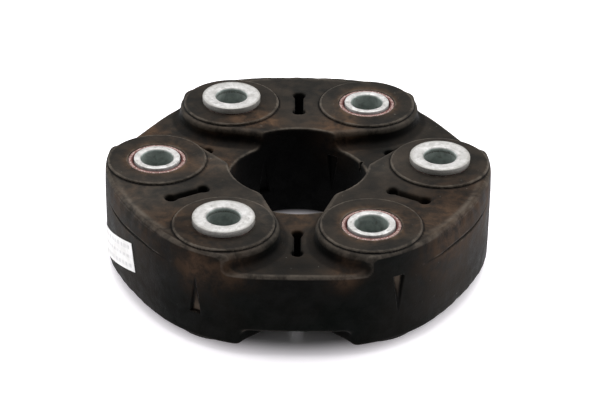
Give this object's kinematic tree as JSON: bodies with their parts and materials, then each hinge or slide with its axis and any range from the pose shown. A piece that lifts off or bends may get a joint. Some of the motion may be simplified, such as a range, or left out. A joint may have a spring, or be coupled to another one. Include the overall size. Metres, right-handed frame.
{
  "type": "flexible disc coupling",
  "caption": "Round rubber disc coupling for a propeller shaft, with steel bolt sleeves on one pitch circle, alternately collared, wound cord loops inside and a centre hole.",
  "frame": {"origin": "centre of the coupling: on the shaft axis, half way between the flush ends of its sleeves", "axes": "+Z along the shaft axis towards the driving flange, +X towards the first driving sleeve, +Y towards the middle of a thick link"},
  "size_m": [0.1441, 0.1396, 0.0436],
  "materials": {
    "rubber": "matt black moulded rubber with brown dust and rust stains",
    "zinc_plated_steel": "dull pale grey zinc plate, lightly scuffed",
    "rusty_steel": "bare sheet steel with red-brown surface rust",
    "cord": "wound textile cord",
    "label": "matt white paper sticker"
  },
  "bodies": {
    "driven_bushes": {"bush_sleeve_driven_1": "zinc_plated_steel", "outer_disc_top_driven_1": "rusty_steel", "outer_disc_bottom_driven_1": "rusty_steel", "inner_disc_top_driven_1": "rusty_steel", "inner_disc_bottom_driven_1": "rusty_steel", "bush_sleeve_driven_2": "zinc_plated_steel", "outer_disc_top_driven_2": "rusty_steel", "outer_disc_bottom_driven_2": "rusty_steel", "inner_disc_top_driven_2": "rusty_steel", "inner_disc_bottom_driven_2": "rusty_steel", "bush_sleeve_driven_3": "zinc_plated_steel", "outer_disc_top_driven_3": "rusty_steel", "outer_disc_bottom_driven_3": "rusty_steel", "inner_disc_top_driven_3": "rusty_steel", "inner_disc_bottom_driven_3": "rusty_steel"},
    "coast_cords": {"coast_cord_1": "cord", "coast_cord_2": "cord", "coast_cord_3": "cord"},
    "disc_body": {"rubber_disc": "rubber", "blank_label": "label"},
    "drive_cords": {"drive_cord_top_1": "cord", "drive_cord_bottom_1": "cord", "drive_cord_top_2": "cord", "drive_cord_bottom_2": "cord", "drive_cord_top_3": "cord", "drive_cord_bottom_3": "cord"},
    "driving_bushes": {"bush_sleeve_driving_1": "zinc_plated_steel", "outer_disc_top_driving_1": "rusty_steel", "outer_disc_bottom_driving_1": "rusty_steel", "inner_disc_top_driving_1": "rusty_steel", "inner_disc_bottom_driving_1": "rusty_steel", "bush_sleeve_driving_2": "zinc_plated_steel", "outer_disc_top_driving_2": "rusty_steel", "outer_disc_bottom_driving_2": "rusty_steel", "inner_disc_top_driving_2": "rusty_steel", "inner_disc_bottom_driving_2": "rusty_steel", "bush_sleeve_driving_3": "zinc_plated_steel", "outer_disc_top_driving_3": "rusty_steel", "outer_disc_bottom_driving_3": "rusty_steel", "inner_disc_top_driving_3": "rusty_steel", "inner_disc_bottom_driving_3": "rusty_steel"}
  },
  "joints": [
    {"name": "torsion", "type": "hinge", "parent": "driven_bushes", "child": "coast_cords", "pos_m": [0, 0, 0], "axis": [0, 0, 1], "range_deg": [-4, 4], "stiffness_Nm_per_rad": 3400, "deforming": ["rubber_disc", "coast_cord_1", "coast_cord_2", "coast_cord_3", "drive_cord_top_1", "drive_cord_bottom_1", "drive_cord_top_2", "drive_cord_bottom_2", "drive_cord_top_3", "drive_cord_bottom_3"]},
    {"name": "tilt_y", "type": "hinge", "parent": "coast_cords", "child": "disc_body", "pos_m": [0, 0, 0], "axis": [0, 1, 0], "range_deg": [-2, 2], "stiffness_Nm_per_rad": 115, "deforming": ["rubber_disc", "coast_cord_1", "coast_cord_2", "coast_cord_3", "drive_cord_top_1", "drive_cord_bottom_1", "drive_cord_top_2", "drive_cord_bottom_2", "drive_cord_top_3", "drive_cord_bottom_3"]},
    {"name": "tilt_x", "type": "hinge", "parent": "disc_body", "child": "drive_cords", "pos_m": [0, 0, 0], "axis": [1, 0, 0], "range_deg": [-2, 2], "stiffness_Nm_per_rad": 115, "deforming": ["rubber_disc", "coast_cord_1", "coast_cord_2", "coast_cord_3", "drive_cord_top_1", "drive_cord_bottom_1", "drive_cord_top_2", "drive_cord_bottom_2", "drive_cord_top_3", "drive_cord_bottom_3"]},
    {"name": "axial_float", "type": "slide", "parent": "drive_cords", "child": "driving_bushes", "axis": [0, 0, 1], "range_m": [-0.0015, 0.0015], "stiffness_N_per_m": 60000, "deforming": ["rubber_disc", "coast_cord_1", "coast_cord_2", "coast_cord_3", "drive_cord_top_1", "drive_cord_bottom_1", "drive_cord_top_2", "drive_cord_bottom_2", "drive_cord_top_3", "drive_cord_bottom_3"]}
  ]
}
